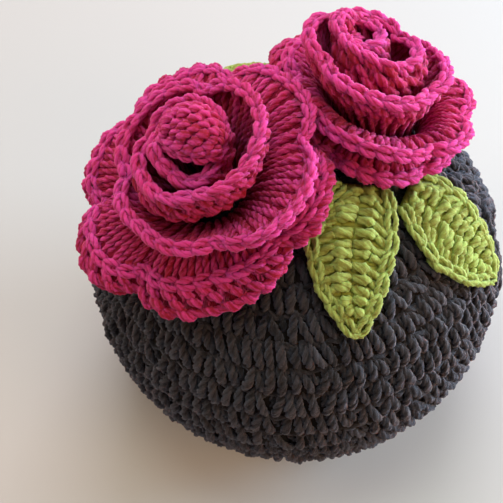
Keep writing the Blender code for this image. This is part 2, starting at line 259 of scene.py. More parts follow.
def smooth_line(knots, count):
    """Points on a smooth curve through knots, as an array of count rows."""
    knots = np.asarray(knots, float)
    ends = np.vstack((2 * knots[0] - knots[1], knots, 2 * knots[-1] - knots[-2]))
    place = np.linspace(0, len(knots) - 1, count)
    first = np.minimum(place.astype(int), len(knots) - 2)
    share = (place - first)[:, None]
    a, b, c, d = (ends[first + step] for step in range(4))
    return 0.5 * (2 * b + (c - a) * share + (2 * a - 5 * b + 4 * c - d) * share ** 2
                  + (3 * b - a - 3 * c + d) * share ** 3)


class Yarn:
    """Collects lengths of yarn as tubes, with a UV map along and round each."""

    def __init__(self, plies):
        self.plies = plies
        self.points, self.quads, self.uvs, self.tones_and_shading = [], [], [], []
        self.count = 0
        self.rng = np.random.default_rng(SEED)

    def tubes(self, path, facing, width, height, tone, plies=3, ply_points=3):
        """Adds plied strands along path, an array of (strands, places, 3), wide across facing.

        Width and height are half thicknesses. Each ring has a few points a ply, and they turn with the
        twist, so a groove runs between the plies. Both ends are closed."""
        many, long = path.shape[:2]
        sides = plies * ply_points
        width, height = (np.broadcast_to(size, (many, long))[:, :, None, None] for size in (width, height))
        along = unit(np.gradient(path, axis=1))
        side = unit(np.cross(facing, along))
        top = np.cross(along, side)
        steps = np.linalg.norm(np.diff(path, axis=1), axis=2)
        run = np.concatenate((np.zeros((many, 1)), np.cumsum(steps, 1)), 1)
        twist = run * self.plies.twist / np.mean(width) + np.arange(many)[:, None] * STRAND_TURN
        turn = (np.arange(sides) * 2 * np.pi / sides + twist[:, :, None])[..., None]
        bulge = 1.0 - self.plies.groove * (np.arange(sides) % ply_points == 0)
        for shape in ((many, long, 1), turn.shape[:3]):
            bulge = bulge + self.rng.normal(0.0, LUMPY, shape)
        ring = side[:, :, None] * np.cos(turn) * width + top[:, :, None] * np.sin(turn) * height
        index = self.count + np.arange(many * long * sides).reshape(many, long, sides)
        self.count += index.size
        self.points.append((path[:, :, None] + ring * bulge[..., None]).reshape(-1, 3))
        near, far = index[:, :-1], index[:, 1:]
        quads = np.stack((near, np.roll(near, -1, 2), np.roll(far, -1, 2), far), -1)
        self.quads.append(quads.reshape(-1, 4))
        run = run + np.arange(many)[:, None] * STRAND_STEP
        run = np.broadcast_to(run[:, :, None], index.shape)
        near, far = run[:, :-1], run[:, 1:]
        low = np.broadcast_to(np.arange(sides) / ply_points, near.shape)
        high = low + 1.0 / ply_points
        corners = [np.stack(place, -1) for place in ((near, low), (near, high), (far, high), (far, low))]
        self.uvs.append(np.stack(corners, -2).reshape(-1, 2))
        for ring_index, order in ((index[:, 0], -1), (index[:, -1], 1)):
            for step in range(sides // 2 - 1):
                corner = np.array((step, step + 1, sides - 2 - step, sides - 1 - step))[::order]
                self.quads.append(ring_index[:, corner])
                self.uvs.append(np.full((many * 4, 2), 0.5))
        tone = np.broadcast_to(np.reshape(tone, (-1, 1)), (many, long * sides))
        self.tones_and_shading.append(tone.reshape(-1))

    def piece(self, name, material):
        piece = mesh_piece(name, self.points, self.quads, self.uvs, material)
        # Each strand's lightness: random from strand to strand, and also painted shade on strands that lie
        # deep or under others and a painted highlight on rose rims.
        tone = piece.data.attributes.new("tone", "FLOAT", "POINT")
        tone.data.foreach_set("value", np.concatenate(self.tones_and_shading).astype(np.float32))
        return piece


def link_object(name, data):
    linked = bpy.data.objects.new(name, data)
    bpy.context.scene.collection.objects.link(linked)
    return linked


def mesh_piece(name, points, quads, uvs, material):
    mesh = bpy.data.meshes.new(name)
    mesh.from_pydata(np.concatenate(points).tolist(), [], np.concatenate(quads).tolist())
    layer = mesh.uv_layers.new(name="yarn")
    layer.data.foreach_set("uv", np.concatenate(uvs).astype(np.float32).ravel())
    mesh.materials.append(material)
    mesh.shade_smooth()
    return link_object(name, mesh)


def cell_corners(grid):
    return grid[:-1, :-1], grid[:-1, 1:], grid[1:, 1:], grid[1:, :-1]


def grid_piece(name, grids, material, thickness):
    """A thin closed sheet over grids of points of (rows, columns, 3), joined where they meet.

    Each grid comes with the places of its points in the sheet's UV map, which counts stitches."""
    points, quads, uvs = [], [], []
    for grid, cells in grids:
        rows, columns = grid.shape[:2]
        index = sum(map(len, points)) + np.arange(rows * columns).reshape(rows, columns)
        points.append(grid.reshape(-1, 3))
        quads.append(np.stack(cell_corners(index), -1).reshape(-1, 4))
        uvs.append(np.stack(cell_corners(cells), -2).reshape(-1, 2))
    piece = mesh_piece(name, points, quads, uvs, material)
    weld = piece.modifiers.new("weld", "WELD")
    weld.merge_threshold = WELD_DISTANCE
    solid = piece.modifiers.new("thickness", "SOLIDIFY")
    solid.thickness = thickness
    solid.offset = 0.0
    return piece


def chain(yarn, curve, facing, rng, pitch, strand, tone, spread=1.0):
    """Adds a chain edge along a curve: a row of links, each of two strands side by side.

    Returns the run along the curve at which each link stands highest."""
    run = run_along(curve)
    links = max(1, round(run[-1] / pitch))
    pitch = run[-1] / links
    side = unit(np.cross(facing, unit(np.gradient(curve, axis=0))))
    shape = smooth_line(LINK, LINK_PLACES)
    place = (np.arange(links)[:, None] + shape[:, 1]) * pitch
    place = np.clip(place, 0.0, run[-1])
    at, out, up = (np.stack([np.interp(place, run, values[:, axis]) for axis in range(3)], -1)
                   for values in (curve, side, facing))
    for hand in (-1, 1):
        offset = (shape[:, 0] * hand * spread + scatter(rng, LINK_WOBBLE, links)) * strand
        rise = (shape[:, 2] + scatter(rng, LINK_WOBBLE, links)) * strand
        path = at + out * offset[:, :, None] + up * rise[:, :, None]
        thick = strand * uneven(rng, links)
        yarn.tubes(path, up, thick, thick * 0.95, tone=tone + rng.normal(0.0, 0.12, links))
    return place[:, LINK_CREST]


# ---- the cover's surface

def meridian():
    """The cover's profile from crown to hem: run, radius, height, normal, and the lump's two parts."""
    ball_rings, foot_rings, foot_curve = 240, 14, 1.5
    latitude = np.linspace(math.pi / 2, FOOT_LATITUDE, ball_rings)
    share = np.linspace(1.0, 0.0, foot_rings)[1:]
    radius = COVER_RADIUS * np.cos(latitude)
    height = COVER_CENTRE[2] + COVER_HALF_HEIGHT * np.sin(latitude)
    edge, edge_height = radius[-1], height[-1]
    radius = np.append(radius, HEM_RADIUS + (edge - HEM_RADIUS) * share ** foot_curve)
    height = np.append(height, edge_height * share)
    run = np.append(0.0, np.cumsum(np.hypot(np.diff(radius), np.diff(height))))
    out = -np.gradient(height, run)
    up = np.gradient(radius, run)
    size = np.hypot(out, up)
    rise = np.append(np.sin(latitude), np.full(len(share), math.sin(FOOT_LATITUDE)))
    swing = np.append(np.cos(latitude) ** 2, math.cos(FOOT_LATITUDE) ** 2 * share)
    return run, radius, height, out / size, up / size, rise, swing


RUN, RADIUS, HEIGHT, OUT, UP, RISE, SWING = meridian()
FULL_RUN = RUN[-1]


def round_axis(azimuth, radius, height):
    return np.stack((np.sin(azimuth) * radius, -np.cos(azimuth) * radius, height), -1)


def on_profile(run, values):
    return np.interp(run, RUN, values)


def cover_normal(azimuth, run):
    return round_axis(azimuth, on_profile(run, OUT), on_profile(run, UP) + 0.0 * azimuth)


def cover_place(azimuth, run, lift):
    """Points of the cover, by azimuth from the front (-Y) towards +X, run from the crown and lift."""
    azimuth, run, lift = np.broadcast_arrays(azimuth, run, lift)
    flat = round_axis(azimuth, on_profile(run, RADIUS), on_profile(run, HEIGHT))
    lump = LUMP * np.sin(3.0 * (azimuth - math.pi / 2) + 2.0 * on_profile(run, RISE)) * on_profile(run, SWING)
    return flat + cover_normal(azimuth, run) * (lump + lift)[..., None]


def middle_and_reach(slit):
    return (slit.bottom + slit.top) / 2, (slit.top - slit.bottom) / 2


def slit_angle(slit, run):
    """Half the angle that a slit takes at a run from the crown."""
    middle, reach = middle_and_reach(slit)
    share = (on_profile(run, HEIGHT) - middle) / reach
    wide = np.maximum(0.0, slit.half_width * (1.0 - share * share))
    return wide / np.maximum(on_profile(run, RADIUS), MM)


def half_azimuth(half, from_handle):
    """Azimuth of an angle from the handle's middle, round the front or the back."""
    return from_handle - math.pi / 2 if half == "front" else 1.5 * math.pi - from_handle


def panel_azimuth(half, share, run):
    """Azimuth at a share of the way from the handle slit to the spout slit."""
    handle = slit_angle(HANDLE_SLIT, run)
    spout = slit_angle(SPOUT_SLIT, run)
    return half_azimuth(half, handle + (math.pi - handle - spout) * share)


# ---- the cover's pieces

def cover_cloth(material):
    """The thin cloth behind the stitches, dark as painted shade in the gaps between them, with the two slits
    and the open hem.
    """
    shares = np.linspace(0.0, 1.0, 49)
    grids = []
    for half in ("front", "back"):
        ordered = shares if half == "front" else shares[::-1]
        run, share = np.meshgrid(np.linspace(0.0, FULL_RUN, 56), ordered, indexing="ij")
        azimuth = panel_azimuth(half, share, run)
        cells = np.stack((share * MOST_STITCHES / 2, run / ROUND_HEIGHT), -1)
        grids.append((cover_place(azimuth, run, CLOTH_LIFT)[:, ::-1], cells[:, ::-1]))
    return grid_piece("cover_cloth", grids, material, thickness=1.1 * MM)


def round_shares(number, count):
    """Places of a half round's stitches; every second round is half a stitch on."""
    if number % 2:
        shares = np.arange(count + 1) / count
        shares[0] += END_INSET / count
        shares[-1] -= END_INSET / count
        return shares
    return (np.arange(count) + 0.5) / count


def beside_slits(half, azimuth, run):
    """Azimuths kept off the slits, whose edges have a chain of their own.

    Within two margins of an edge the yarn crowds up smoothly, and none comes nearer than one."""
    radius = np.maximum(on_profile(run, RADIUS), CROWN_RADIUS)
    from_handle = azimuth + math.pi / 2 if half == "front" else 1.5 * math.pi - azimuth
    for slit, start, way in ((HANDLE_SLIT, 0.0, 1.0), (SPOUT_SLIT, math.pi, -1.0)):
        wide = slit_angle(slit, run) * radius
        margin = SLIT_MARGIN * np.clip(wide / SLIT_FADE, 0.0, 1.0)
        gap = (from_handle - start) * way * radius - wide
        pushed = margin + np.maximum(gap, 0.0) ** 2 / np.maximum(4.0 * margin, 1e-9)
        gap = np.where((margin > 0.0) & (gap < 2.0 * margin), pushed, gap)
        from_handle = start + way * (wide + gap) / radius
    return half_azimuth(half, from_handle)


def leg_swell(along):
    """A strand's thickness along its leg, as a share."""
    least, more, middle, reach = 0.84, 0.20, -0.10, 0.34
    return least + more * np.exp(-((along - middle) / reach) ** 2)


def cover_stitches(half, rounds, material, rng):
    """Single crochet from the crown down: a stitch is two fat strands that part below, and a loop."""
    yarn = Yarn(GREY_PLIES)
    for number in rounds:
        middle = (number + 0.5) * ROUND_HEIGHT
        count = min(CROWN_INCREASE * (number + 1), MOST_STITCHES) // 2
        shares = round_shares(number, count)
        many = len(shares)
        width = np.pi * on_profile(middle, RADIUS) / count
        narrow = min(1.0, width / FULL_STITCH_WIDTH) ** 0.5
        size = uneven(rng, many, STITCH_SPREAD)
        shift = scatter(rng, STITCH_SHIFT, many)
        for strand in COVER_STRANDS:
            leg = smooth_line(strand.line, strand.places)
            turn = scatter(rng, STITCH_TURN, many)
            raised = scatter(rng, STITCH_RISE, many)
            along = leg[:, 1] * ROUND_HEIGHT * size
            across = (leg[:, 0] * strand.hand + SLANT * leg[:, 1]) * width + along * turn + shift
            run = np.clip(middle + along + 0.3 * shift, 0.5 * MM, FULL_RUN - HEM_MARGIN)
            lift = (leg[:, 2] + raised * (leg[:, 2] > BURIED_LIFT)) * MM
            centre = panel_azimuth(half, shares[:, None], run)
            azimuth = centre + across / np.maximum(on_profile(run, RADIUS), CROWN_RADIUS)
            azimuth = beside_slits(half, azimuth, run)
            path = cover_place(azimuth, run, lift)
            facing = cover_normal(azimuth, run)
            thick = GREY_STRAND * strand.share * uneven(rng, many) * narrow * leg_swell(leg[:, 1])
            tone = strand.tone + rng.normal(0.0, 0.18, many)
            yarn.tubes(path, facing, thick, thick * 0.95, tone=tone, ply_points=strand.ply_points)
        add_round_loops(yarn, half, number, count, rng)
    return yarn.piece(f"cover_stitches_{half}_{rounds[0]}", material)


def add_round_loops(yarn, half, number, count, rng):
    """The yarn that lies between two rounds, seen in the gaps of the stitches."""
    sway, depth, depth_wave = 0.8 * MM, -3.3, 0.5
    share = np.linspace(0.01, 0.99, count * 4 + 1)
    wave = share * count * 2 * np.pi
    run = (number + 1.0) * ROUND_HEIGHT + sway * np.sin(wave + number)
    run = np.minimum(run, FULL_RUN - LOOP_MARGIN)
    azimuth = panel_azimuth(half, share, run)
    lift = (depth + depth_wave * np.cos(wave)) * MM
    path = cover_place(azimuth, run, lift)[None]
    # Their low tone is painted shade on the yarn that shows deep in the gaps.
    yarn.tubes(path, cover_normal(azimuth, run)[None], width=1.5 * MM, height=1.4 * MM,
               tone=rng.uniform(0.0, 0.3), plies=2)


def slit_edge(yarn, slit, rng):
    """The chain worked round a slit, over a thick strand that closes the edge."""
    beyond, out = 2.0 * MM, 2.6 * MM
    turn = np.linspace(0.0, 2 * np.pi, 161)
    middle, reach = middle_and_reach(slit)
    height = middle + (reach + beyond) * np.sin(turn)
    run = np.interp(-height, -HEIGHT, RUN)
    across = slit.half_width * np.cos(turn) * np.abs(np.cos(turn)) + out * np.cos(turn)
    azimuth = slit.side * math.pi / 2 + across / on_profile(run, RADIUS)
    facing = cover_normal(azimuth, run)
    curve = cover_place(azimuth, run, -0.7 * MM)
    chain(yarn, curve, facing, rng, pitch=6.6 * MM, strand=1.55 * MM, tone=0.5, spread=0.95)
    inner = cover_place(azimuth, run, -3.4 * MM)[None]
    # The strand under the chain is darker, as painted shade.
    yarn.tubes(inner, facing[None], width=1.9 * MM, height=1.6 * MM, tone=0.3)


def hem_edge(yarn, rng):
    """The chain round the hem, and inside it the thick strand that the cosy stands on."""
    azimuth = np.linspace(0.0, 2 * np.pi, 241)
    run = np.full_like(azimuth, FULL_RUN - 3.6 * MM)
    curve = cover_place(azimuth, run, -1.5 * MM)
    facing = cover_normal(azimuth, run)
    chain(yarn, curve, facing, rng, pitch=7.2 * MM, strand=1.6 * MM, tone=0.5, spread=0.85)
    low = round_axis(azimuth, HEM_RADIUS - 2.6 * MM, np.full_like(azimuth, 2.7 * MM))
    up = np.zeros_like(low)
    up[:, 2] = 1.0
    # The strand beneath is a little darker than the chain, as painted shade.
    yarn.tubes(low[None], up[None], width=2.3 * MM, height=2.1 * MM, tone=0.4)


# ---- the roses

def at_cover(direction, lift):
    """Points of the cover under directions of the scaled unit sphere, with a lift."""
    azimuth = np.arctan2(direction[..., 1], direction[..., 0])
    lump = LUMP * np.sin(3.0 * azimuth + 2.0 * direction[..., 2]) * (1.0 - direction[..., 2] ** 2)
    normal = unit(direction / COVER_SCALE)
    return COVER_CENTRE + direction * COVER_SCALE + normal * (lump + lift)[..., None], normal


class RoseShape:
    """A rose's rolled strip as a surface: an angle along it, a level from foot to rim, an offset."""

    def __init__(self, rose):
        self.rose = rose
        self.ends = np.array([petal.end_deg for petal in rose.petals], float)
        self.starts = np.concatenate(((rose.start_deg,), self.ends[:-1]))
        self.middles = (self.starts + self.ends) / 2
        across = np.array(rose.seat) * MM / COVER_RADIUS
        self.origin, self.up = at_cover(np.append(across, math.sqrt(1.0 - across @ across)), 0.0)
        self.x_axis = unit(np.array((1.0, 0.0, 0.0)) - self.up * self.up[0])
        self.y_axis = np.cross(self.up, self.x_axis)
        self.lean = self.up + self.x_axis * rose.lean[0] + self.y_axis * rose.lean[1]

    def blended(self, angle, measure):
        """One of the petals' measures, blended from each petal's middle to the next."""
        return np.interp(angle, self.middles, [getattr(petal, measure) for petal in self.rose.petals]) * MM

    def rim(self, angle):
        """Rim radius, rim height and fold height, with the scallops."""
        radius, height, fold = (self.blended(angle, measure)
                                for measure in ("rim_radius", "rim_height", "fold_height"))
        which = np.clip(np.searchsorted(self.ends, angle - 1e-6), 0, len(self.ends) - 1)
        share = (angle - self.starts[which]) / (self.ends[which] - self.starts[which])
        notch = (1.0 - np.sin(np.pi * np.clip(share, 0.0, 1.0))) ** 2
        dip = SCALLOP_DIP * notch
        return radius * (1.0 - SCALLOP_DEPTH * notch), height - dip, fold - dip

    def across(self, x, y):
        x, y = np.asarray(x)[..., None], np.asarray(y)[..., None]
        return self.origin + x * self.x_axis + y * self.y_axis

    def foot_lift(self, x, y):
        """Height along the rose's axis at which a point clears the cover."""
        scale = COVER_SCALE + SEAT_GAP
        start = (self.across(x, y) - COVER_CENTRE) / scale
        way = self.up / scale
        a = way @ way
        b = start @ way
        c = (start * start).sum(-1) - 1.0
        return (-b + np.sqrt(np.maximum(b * b - a * c, 0.0))) / a

    def place(self, angle, level, offset=0.0):
        """Points of the strip, a Bezier curve from foot to rim at each angle."""
        angle, level, offset = np.broadcast_arrays(angle, level, offset)
        radius, height, fold = self.rim(angle)
        foot = ROLL_START_RADIUS + ROLL_PITCH * (angle - self.rose.start_deg) / 360.0
        flare = radius - foot
        bulge = self.blended(angle, "bulge")
        across = (foot, foot + LOW_OUT * flare, foot + HIGH_OUT * flare + bulge, radius)
        rise = (0.0 * foot, LOW_UP * fold, fold, height)
        rest = 1.0 - level
        weights = (rest ** 3, 3 * rest ** 2 * level, 3 * rest * level ** 2, level ** 3)
        slopes = (-3 * rest ** 2, 3 * rest ** 2 - 6 * rest * level, 6 * rest * level - 3 * level ** 2,
                  3 * level ** 2)
        r, z, dr, dz = (sum(value * share for value, share in zip(values, shares))
                        for shares in (weights, slopes) for values in (across, rise))
        size = np.maximum(np.hypot(dr, dz), 1e-9)
        r = r + offset * dz / size
        z = z - offset * dr / size
        turn = np.radians(angle)
        x = r * np.cos(turn)
        y = r * np.sin(turn)
        eye = self.rose.eye
        if eye:
            share = np.interp(angle, (eye.until_deg, eye.faded_deg), (1.0, 0.0)) * level
            x = x + eye.x * share
            y = y + eye.y * share
        z = z + self.foot_lift(x, y) * np.maximum(0.0, 1.0 - SEAT_FADE * level)
        return self.across(x, y) + z[..., None] * self.lean

    def normal(self, angle, level):
        """Away from the rose's middle, and down where a petal lies flat."""
        return unit(self.place(angle, level, 0.3 * MM) - self.place(angle, level, -0.3 * MM))

    def droop(self, angle):
        """How far a petal's rim hangs under its fold, from 0 to 1."""
        _, height, fold = self.rim(angle)
        return np.clip((fold - height) / FULL_DROOP, 0.0, 1.0)

    def chain_run(self, angle):
        """Where the chain lies on the skin: over an upright rim, or on the fold of a drooping one."""
        return RIM_CHAIN_RUN * (1.0 - self.droop(angle))

    def skin(self, angle, along, lift):
        """Points on the strip's surface and its normals, at a run from the fold over the rim and down."""
        angle, along, lift = np.broadcast_arrays(angle, along, lift)
        top = self.place(angle, PROBE_LEVEL)
        reach = np.linalg.norm(self.place(angle, PROBE_LEVEL - PROBE_STEP) - top, axis=-1) / PROBE_STEP
        fold_level = 1.0 - DROOP_LEVEL * self.droop(angle)
        flat = (1.0 - fold_level) * reach
        turn = np.clip((along - flat) / STRIP_HALF_THICKNESS, 0.0, np.pi)
        below = np.maximum(0.0, along - flat - np.pi * STRIP_HALF_THICKNESS)
        level = fold_level + (np.minimum(along, flat) - below) / reach
        here = self.place(angle, level)
        tangent = unit(here - self.place(angle, level - 0.02))
        outward = self.normal(angle, level)
        facing = tangent * np.sin(turn)[..., None] - outward * np.cos(turn)[..., None]
        return here + facing * (STRIP_HALF_THICKNESS + lift)[..., None], facing


def rose_pieces(rose, cloth_look, yarn_look, rng):
    """A rose's thin cloth strip, and its posts, rim and heart in yarn."""
    shape = RoseShape(rose)
    last = rose.petals[-1].end_deg
    angles = np.arange(rose.start_deg, last + 1e-6, 5.0)
    angle, level = np.meshgrid(angles, np.linspace(0.0, RIM_LEVEL, 11), indexing="ij")
    cells = np.stack((np.radians(angle) * 30.0, level * 4.0), -1)
    grids = [(shape.place(angle, level), cells)]
    cloth = grid_piece(f"{rose.name}_cloth", grids, cloth_look, thickness=0.8 * MM)
    yarn = Yarn(PINK_PLIES)
    fine = np.linspace(rose.start_deg, last, int(last))
    crest, facing = shape.skin(fine, shape.chain_run(fine), -0.7 * MM)
    # The rim chain's high tone is a painted highlight.
    links = chain(yarn, crest, facing, rng, pitch=RIB_PITCH, strand=PINK_STRAND, tone=0.85)
    stitches = np.interp(links, run_along(crest), fine)
    sparse = fine[::3]
    rim = shape.place(sparse, RIM_LEVEL)[None]
    # The rim strand under the chain is darker, as painted shade.
    yarn.tubes(rim, shape.normal(sparse, RIM_LEVEL)[None], width=1.9 * MM, height=1.6 * MM, tone=0.25)
    add_posts(yarn, shape, stitches, rng)
    add_bumps(yarn, shape, stitches, rng)
    add_heart = add_hood if isinstance(rose.heart, Hood) else add_coil
    add_heart(yarn, shape, rng)
    return cloth, yarn.piece(f"{rose.name}_yarn", yarn_look)


def add_posts(yarn, shape, angles, rng):
    """The petals' tall stitches, each two strands that cross under a link of the rim."""
    least_room, most_room, thinnest, thickest = 0.8 * MM, 3.2 * MM, 0.85 * MM, 1.7 * MM
    step, swing, depth = 0.5, 0.48, 0.45
    level = np.linspace(0.02, 0.95, 12)
    many = len(angles)
    gap = np.radians(np.gradient(angles))[:, None]
    start = rng.normal(0.35, 0.25, (many, 1))
    path = shape.place(angles[:, None], level)
    facing = shape.normal(angles[:, None], level)
    beside = shape.place(angles[:, None] + step, level) - path
    across = unit(beside)
    spacing = np.linalg.norm(beside, axis=-1) / math.radians(step)
    room = np.clip(0.5 * spacing * gap, least_room, most_room)
    thick = np.clip(0.62 * room, thinnest, thickest)
    for hand in (0.0, np.pi):
        turn = hand + start + level * POST_TURN
        aside = across * (np.cos(turn) * swing * room)[..., None]
        ahead = facing * (np.sin(turn) * depth * MM)[..., None]
        # The posts' low tone is painted shade on the petals' faces under the rims.
        tone = 0.35 + rng.normal(0.0, TONE_SPREAD, many)
        yarn.tubes(path + (aside + ahead), facing, thick, thick * 0.95, tone=tone)


def add_bumps(yarn, shape, angles, rng):
    """The heads of the stitches, in rows outside the rim."""
    half_length, half_gap, top, drop = 1.9 * MM, 0.40, -0.45, 1.15
    step = np.linspace(-1.0, 1.0, 7)
    many = len(angles)
    gap = np.gradient(angles)
    for row, place in enumerate(BUMP_ROWS):
        wobble = scatter(rng, 0.25 * MM, many)
        along = shape.chain_run(angles)[:, None] + place + wobble + step * half_length
        middle = angles + gap * (0.5 * row + rng.normal(0.0, 0.06, many))
        angle = middle[:, None] + gap[:, None] * half_gap * step
        lift = (top - drop * step ** 2 + scatter(rng, 0.12, many)) * MM
        path, facing = shape.skin(angle, along, lift)
        thick = BUMP_STRAND * (1.0 - BUMP_TAPER * step ** 2) * uneven(rng, many)
        # Rows further from the chain are darker, as painted shade.
        tone = 0.34 - 0.05 * row + rng.normal(0.0, TONE_SPREAD, many)
        yarn.tubes(path, facing, thick, thick * 0.78, tone=tone)


def add_coil(yarn, shape, rng):
    """The strip's start, curled over the middle in a coil of chain."""
    coil = shape.rose.heart
    eye = shape.rose.eye
    turn_pitch, dome = 4.4 * MM, 0.42
    turns = coil.radius / turn_pitch
    share = np.linspace(0.06, 1.0, 90)
    radius = coil.radius * share
    angle = np.radians(shape.rose.start_deg) - (1.0 - share) * turns * 2 * np.pi
    rise = coil.height + coil.radius * dome * (1.0 - share ** 2)
    flat = np.cos(angle)[:, None] * shape.x_axis + np.sin(angle)[:, None] * shape.y_axis
    flat = radius[:, None] * flat
    curve = shape.across(eye.x, eye.y) + flat + rise[:, None] * shape.lean
    facing = unit(flat + shape.lean * coil.radius)
    # The chain's high tone is a painted highlight; the strand under it is darker, as painted shade.
    chain(yarn, curve, facing, rng, pitch=5.6 * MM, strand=PINK_STRAND, tone=0.7)
    low = curve - facing * 1.6 * MM
    yarn.tubes(low[None], facing[None], width=2.6 * MM, height=1.2 * MM, tone=0.3)


def hood_place(shape, across, over, lift):
    """Points and normals of the hood, by angles across it and from its free edge over to its back."""
    hood = shape.rose.heart
    turn = math.radians(hood.facing_deg)
    front = shape.x_axis * math.cos(turn) + shape.y_axis * math.sin(turn)
    up = unit(shape.lean)
    aside = np.cross(up, front)
    middle = shape.across(hood.aside, hood.back) + shape.lean * hood.height
    across, over, lift = np.broadcast_arrays(across, over, lift)
    parts = (np.sin(across), np.cos(across) * np.cos(over), np.cos(across) * np.sin(over))
    sizes = (hood.half_width, hood.half_depth, hood.rise)
    ways = (aside, front, up)
    place = middle + sum(((size + lift) * part)[..., None] * way
                         for part, size, way in zip(parts, sizes, ways))
    normal = unit(sum((part / size)[..., None] * way for part, size, way in zip(parts, sizes, ways)))
    return place, normal


def add_hood(yarn, shape, rng):
    """The strip's start, folded over the rose's heart: rows of stitches and a chain edge."""
    hood = shape.rose.heart
    first, last, reach = (math.radians(angle) for angle in (40.0, 212.0, 80.0))
    row_pitch, stitch_pitch, edge_turn = 3.4 * MM, 4.6 * MM, 0.22
    half_length, half_gap, top, drop = 1.7, 0.11, 0.1, 1.2
    rows = round((last - first) * hood.half_depth / row_pitch)
    many = max(3, round(2 * reach * hood.half_width / stitch_pitch))
    line = np.linspace(-reach, reach, 25)
    step = np.linspace(-1.0, 1.0, 7)
    for row, over in enumerate(np.linspace(first, last, rows)):
        path, facing = hood_place(shape, line, over, -1.5 * MM)
        # The rows under the stitches are darker, as painted shade.
        yarn.tubes(path[None], facing[None], width=2.5 * MM, height=1.0 * MM, tone=0.2)
        start = (np.arange(many) + 0.5 * (row % 2) + 0.25) / (many + 0.5) * 2 - 1
        across = (start[:, None] + scatter(rng, 0.02, many) + half_gap * step) * reach
        along = over + (step * half_length + scatter(rng, 0.2, many)) * MM / hood.half_depth
        lift = (top - drop * step ** 2 + scatter(rng, 0.15, many)) * MM
        path, facing = hood_place(shape, across, along, lift)
        narrow = np.clip(np.cos(start[:, None] * reach) + 0.25, 0.5, 1.0)
        thick = BUMP_STRAND * narrow * (1.0 - BUMP_TAPER * step ** 2) * uneven(rng, many)
        tone = 0.5 + rng.normal(0.0, TONE_SPREAD, many)
        yarn.tubes(path, facing, thick, thick * 0.8, tone=tone)
    edge = np.linspace(-reach, reach, 60)
    curve, facing = hood_place(shape, edge, first - edge_turn, 0.0)
    # The edge chain's high tone is a painted highlight.
    chain(yarn, curve, facing, rng, pitch=5.2 * MM, strand=PINK_STRAND * 0.9, tone=0.75)


# ---- the leaves

class LeafShape:
    """A leaf as a surface: a share of its length, a distance aside, and a lift above the cover."""

    def __init__(self, leaf):
        self.leaf = leaf
        self.root = sphere_direction(leaf.root_azimuth, leaf.root_polar)
        self.tip = sphere_direction(leaf.tip_azimuth, leaf.tip_polar)
        self.aside = unit(np.cross(self.root, self.tip))
        self.span = math.acos(float(self.root @ self.tip))
        self.length = self.span * COVER_RADIUS

    def half_width(self, share):
        return self.leaf.half_width * MM * np.interp(share, LEAF_PLACES, LEAF_WIDTHS)

    def place(self, share, aside, lift):
        """Points and normals of the leaf, which follows the cover."""
        share, aside, lift = np.broadcast_arrays(share, aside, lift)
        ahead = np.sin((1.0 - share) * self.span)[..., None] * self.root
        ahead = (ahead + np.sin(share * self.span)[..., None] * self.tip) / math.sin(self.span)
        bend = self.leaf.bend * MM * np.sin(np.pi * np.clip(share, 0.0, 1.0))
        turn = ((aside + bend) / COVER_RADIUS)[..., None]
        return at_cover(unit(ahead * np.cos(turn) + self.aside * np.sin(turn)), lift + SEAT_GAP)


def sphere_direction(azimuth, polar):
    polar = math.radians(polar)
    return round_axis(math.radians(azimuth), math.sin(polar), math.cos(polar))


def leaf_pieces(leaf, cloth_look, yarn_look, rng):
    """A leaf's thin cloth, and its stitches and chain edge in yarn."""
    shape = LeafShape(leaf)
    share, side = np.meshgrid(np.linspace(0.0, 0.985, 25), np.linspace(-0.93, 0.93, 11), indexing="ij")
    aside = side * (shape.half_width(share) - 0.8 * MM)
    cells = np.stack((share * 12.0, side * 3.0), -1)
    grids = [(shape.place(share, aside, 0.9 * MM)[0], cells)]
    cloth = grid_piece(f"{leaf.name}_cloth", grids, cloth_look, thickness=1.4 * MM)
    yarn = Yarn(GREEN_PLIES)
    curve, facing = shape.place(*leaf_outline(shape), LEAF_TOP)
    chain(yarn, curve, facing, rng, pitch=7.6 * MM, strand=GREEN_STRAND, tone=0.7, spread=1.05)
    add_leaf_stitches(yarn, shape, rng)
    return cloth, yarn.piece(f"{leaf.name}_yarn", yarn_look)


def leaf_outline(shape):
    """The line under a leaf's chain edge, from the root round the tip and back, as share and aside."""
    inset = 2.3 * MM
    share = np.linspace(0.02, LEAF_CHAIN_END, 50)
    aside = np.maximum(shape.half_width(share) - inset, 1.5 * MM)
    turn = np.linspace(0.0, np.pi, 9)[1:-1]
    tip_share = LEAF_CHAIN_END + 0.03 * np.sin(turn)
    tip_aside = aside[-1] * np.cos(turn)
    return (np.concatenate((share, tip_share, share[::-1])),
            np.concatenate((aside, tip_aside, -aside[::-1])))


